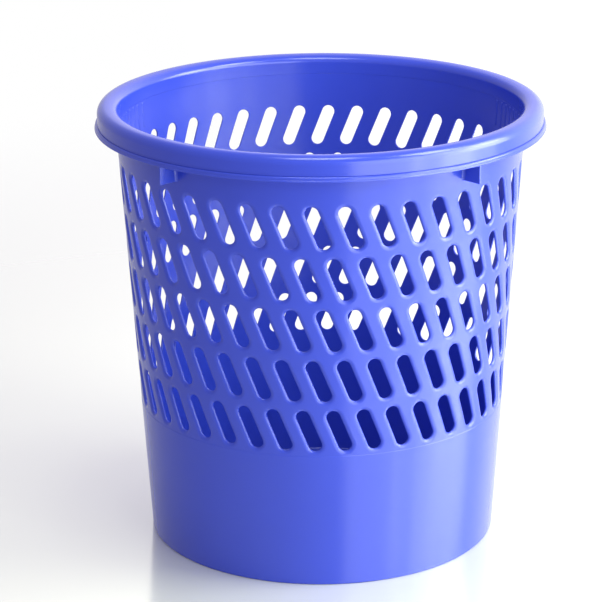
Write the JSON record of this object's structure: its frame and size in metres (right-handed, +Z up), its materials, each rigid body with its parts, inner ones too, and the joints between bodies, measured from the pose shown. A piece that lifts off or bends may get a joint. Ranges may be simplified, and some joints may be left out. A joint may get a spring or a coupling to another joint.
{
  "type": "wastebasket",
  "caption": "Round tapered wastebasket with rows of slanted through slots, an outward flange, a flat floor and a lift-off domed ring that traps the edge of a liner bag.",
  "frame": {"origin": "centre of the circular footprint, on the surface that the basket stands on", "axes": "+Z up along the axis of the basket, front towards -Y, +X to the right seen from the front"},
  "size_m": [0.266, 0.266, 0.2641],
  "materials": {
    "basket_plastic": "satin-gloss moulded polypropylene, through-coloured violet blue",
    "ring_plastic": "satin-gloss moulded polypropylene, through-coloured violet blue"
  },
  "bodies": {
    "basket": {"base_panel": "basket_plastic", "foot_ring": "basket_plastic", "lower_wall": "basket_plastic", "slot_band_1": "basket_plastic", "slot_band_2": "basket_plastic", "slot_band_3": "basket_plastic", "slot_band_4": "basket_plastic", "slot_band_5": "basket_plastic", "upper_wall": "basket_plastic", "flange": "basket_plastic", "locating_collar": "basket_plastic", "stacking_lugs": "basket_plastic", "grip_ribs_left": "basket_plastic", "grip_ribs_right": "basket_plastic"},
    "liner_ring": {"ring_skirt": "ring_plastic", "ring_crown": "ring_plastic", "ring_lip": "ring_plastic"}
  },
  "joints": [
    {"name": "ring_lift", "type": "slide", "parent": "basket", "child": "liner_ring", "axis": [0, 0, 1], "range_m": [0, 0.06]}
  ]
}
